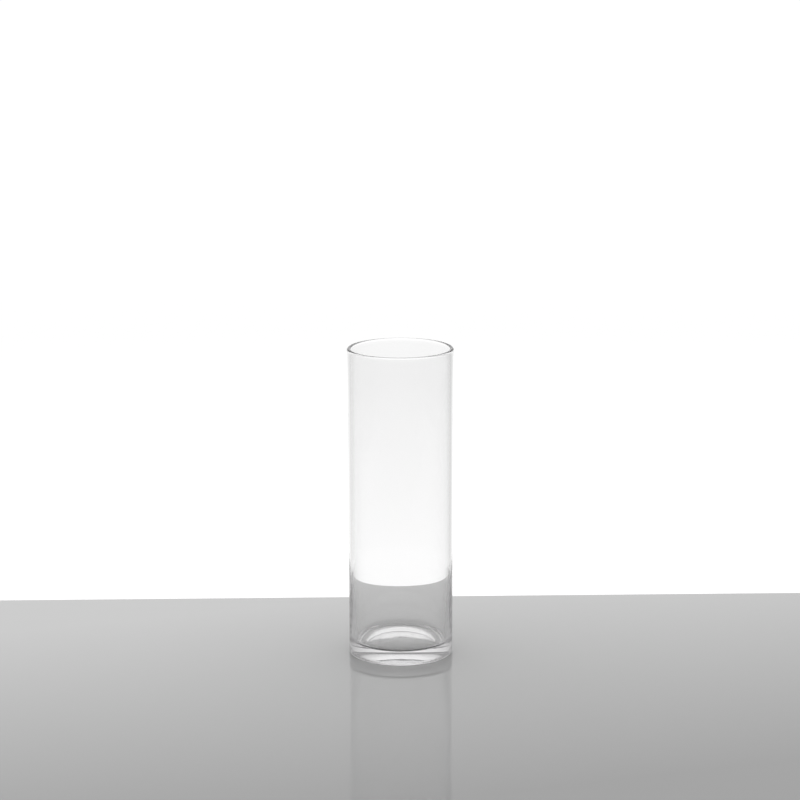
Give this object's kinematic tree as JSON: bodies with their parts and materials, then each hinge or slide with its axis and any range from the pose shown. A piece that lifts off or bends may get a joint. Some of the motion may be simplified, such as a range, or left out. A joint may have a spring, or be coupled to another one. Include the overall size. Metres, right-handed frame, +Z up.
{
  "type": "cylinder vase",
  "caption": "Tall straight-sided clear glass cylinder vase with a fire-polished rim, an open mouth and a heavy solid foot.",
  "frame": {"origin": "centre of the foot, on the plane the vase stands on", "axes": "+Z up along the vase's axis, towards its mouth; the vase is round, so X and Y are any two level directions"},
  "size_m": [0.1016, 0.1016, 0.3],
  "materials": {
    "clear_glass": "clear, colourless, fire-polished"
  },
  "bodies": {
    "root": {"vase": "clear_glass"}
  },
  "joints": []
}
